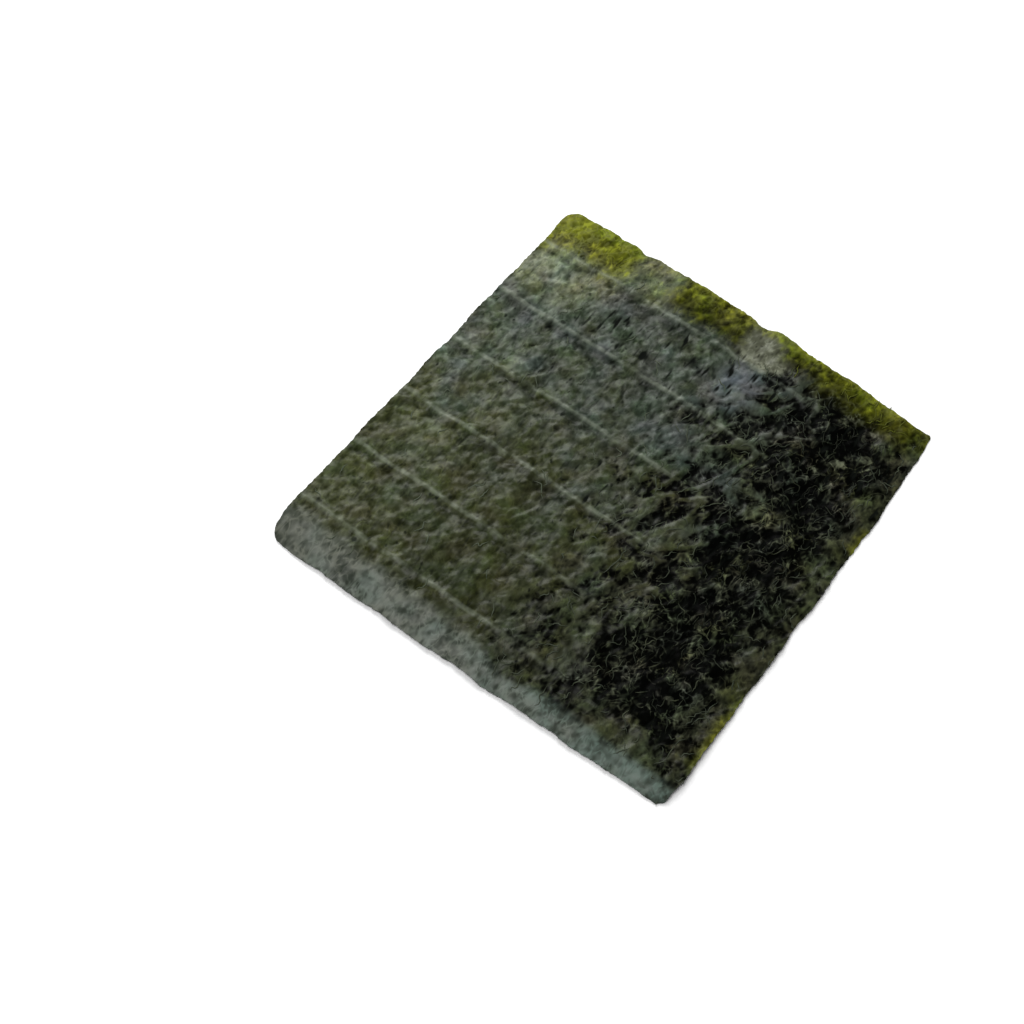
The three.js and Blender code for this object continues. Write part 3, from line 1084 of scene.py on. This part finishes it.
along_strand = node(tree, "GeometryNodeSplineParameter").outputs["Factor"]
swell = calc(tree, "SINE", times(tree, along_strand, math.pi))
level = plus(tree, felt_level, swell, given["Arch"])
dropped = {"Geometry": shreds, "Position": vector(tree, spot["X"], spot["Y"], level)}
shreds = node(tree, "GeometryNodeSetPosition", dropped).outputs[0]

# Each line becomes a flat ribbon with tapered ends
shreds = node(tree, "GeometryNodeSetCurveNormal", {"Curve": shreds}, mode="Z_UP").outputs[0]
section = {
    "Width": times(tree, given["Half width"], 2.0),
    "Height": times(tree, given["Half thickness"], 2.0),
}
profile = node(tree, "GeometryNodeCurvePrimitiveQuadrilateral", section, mode="RECTANGLE").outputs[0]
ribbon = {
    "Curve": shreds,
    "Profile Curve": profile,
    "Scale": calc(tree, "MULTIPLY_ADD", swell, 1 - STRAND_TIP, STRAND_TIP),
    "Fill Caps": True,
}
ribbons = node(tree, "GeometryNodeCurveToMesh", ribbon).outputs[0]
node(tree, "NodeGroupOutput", {0: with_material(tree, ribbons, nori_strand)})

strands = bpy.data.objects.new("nori_strands", sheet.data.copy())
bpy.context.scene.collection.objects.link(strands)
run_geometry(strands, tree, keys, STRANDS)
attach(strands, "root")
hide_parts("nori_sheet")


# The floor, the lights and the camera
# A matt white floor that the sheet lies on, a soft box behind on the left that lights the sheeny flank, and
# one overhead for the rolled edge. The camera looks down from the front right.

FLOOR_SIZE = 6.0
FLOOR_GAP = 0.0002
FLOOR_WHITE = (0.93, 0.93, 0.93, 1.0)
FLOOR_ROUGHNESS = 0.9
FLOOR_SPECULAR = 0.1
SKY_WHITE = (1, 1, 1, 1)
SKY_STRENGTH = 0.12

half = FLOOR_SIZE / 2
floor_corners = [(-half, -half, 0), (half, -half, 0), (half, half, 0), (-half, half, 0)]
floor_mesh = bpy.data.meshes.new("floor")
floor_mesh.from_pydata(floor_corners, [], [(0, 1, 2, 3)])
floor = bpy.data.objects.new("floor", floor_mesh)
floor.location.z = solid_low.z - FLOOR_GAP
bpy.context.scene.collection.objects.link(floor)
white, _, shader = start_material("white_floor")
shader.inputs["Base Color"].default_value = FLOOR_WHITE
shader.inputs["Roughness"].default_value = FLOOR_ROUGHNESS
shader.inputs["Specular IOR Level"].default_value = FLOOR_SPECULAR
floor_mesh.materials.append(white)


def soft_box(name, direction, distance, size, power):
    """A square light that faces the sheet."""
    lamp = bpy.data.lights.new(name, "AREA")
    lamp.shape = "SQUARE"
    lamp.size = size
    lamp.energy = power
    made = bpy.data.objects.new(name, lamp)
    towards = Vector(direction).normalized()
    made.location = towards * distance
    made.rotation_euler = towards.to_track_quat("Z", "Y").to_euler()
    bpy.context.scene.collection.objects.link(made)


soft_box("back_left_box", direction=(-0.52, 0.55, 0.65), distance=1.6, size=1.1, power=27)
soft_box("overhead_box", direction=(-0.15, -0.30, 0.94), distance=1.8, size=1.0, power=21)

world = bpy.data.worlds.new("studio")
bpy.context.scene.world = world
world.use_nodes = True
sky = world.node_tree.nodes["Background"].inputs
sky["Color"].default_value = SKY_WHITE
sky["Strength"].default_value = SKY_STRENGTH
bpy.context.scene.view_settings.view_transform = "Standard"

CAMERA_TURN = math.radians(27.1378)
CAMERA_RISE = math.radians(61.0672)
CAMERA_ROLL = math.radians(10.1425)
CAMERA_DISTANCE = 0.8636
CAMERA_ASIDE = -0.0407
CAMERA_ALONG = -0.0102
NEAREST_VIEW = 0.01
SENSOR_WIDTH = 36.0
FOCAL_PIXELS = 2100.0
PICTURE_PIXELS = 1024.0

back = Vector((
    math.sin(CAMERA_TURN) * math.cos(CAMERA_RISE),
    -math.cos(CAMERA_TURN) * math.cos(CAMERA_RISE),
    math.sin(CAMERA_RISE),
))
level_right = Vector((math.cos(CAMERA_TURN), math.sin(CAMERA_TURN), 0))
level_up = back.cross(level_right)
right = level_right * math.cos(CAMERA_ROLL) + level_up * math.sin(CAMERA_ROLL)
up = level_up * math.cos(CAMERA_ROLL) - level_right * math.sin(CAMERA_ROLL)
eye = back * CAMERA_DISTANCE + right * CAMERA_ASIDE + up * CAMERA_ALONG
lens = bpy.data.cameras.new("camera")
lens.sensor_width = SENSOR_WIDTH
lens.lens = FOCAL_PIXELS / PICTURE_PIXELS * SENSOR_WIDTH
lens.clip_start = NEAREST_VIEW
camera = bpy.data.objects.new("camera", lens)
camera.matrix_world = Matrix.Translation(eye) @ Matrix((right, up, back)).transposed().to_4x4()
bpy.context.scene.collection.objects.link(camera)
bpy.context.scene.camera = camera
